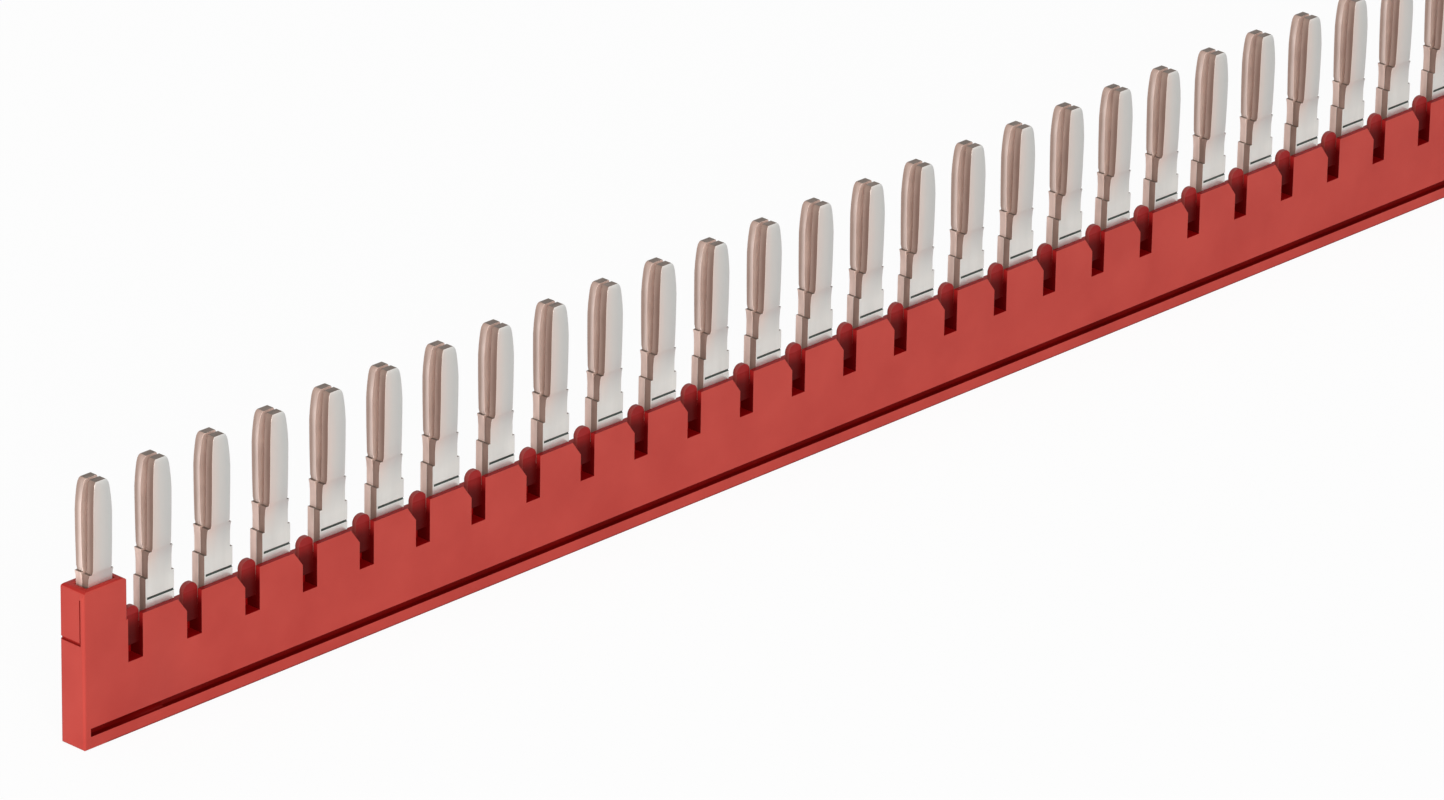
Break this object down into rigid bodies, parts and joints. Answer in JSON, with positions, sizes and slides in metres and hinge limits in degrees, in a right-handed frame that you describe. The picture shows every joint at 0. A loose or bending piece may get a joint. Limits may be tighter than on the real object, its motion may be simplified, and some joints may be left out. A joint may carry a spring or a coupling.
{
  "type": "terminal block jumper bar",
  "caption": "Long thin moulded bar with a row of flat double-leaf contact tines that bridges neighbouring terminal blocks.",
  "frame": {"origin": "middle of the bar's bottom edge, under the middle of its length and thickness", "axes": "+X along the bar, -Y out of the slotted front, +Z the way the tines point"},
  "size_m": [0.3084, 0.0028, 0.022],
  "materials": {
    "housing": "satin",
    "contact": "satin"
  },
  "bodies": {
    "root": {"housing": "housing", "front_comb": "contact", "rear_comb": "contact"}
  },
  "joints": []
}
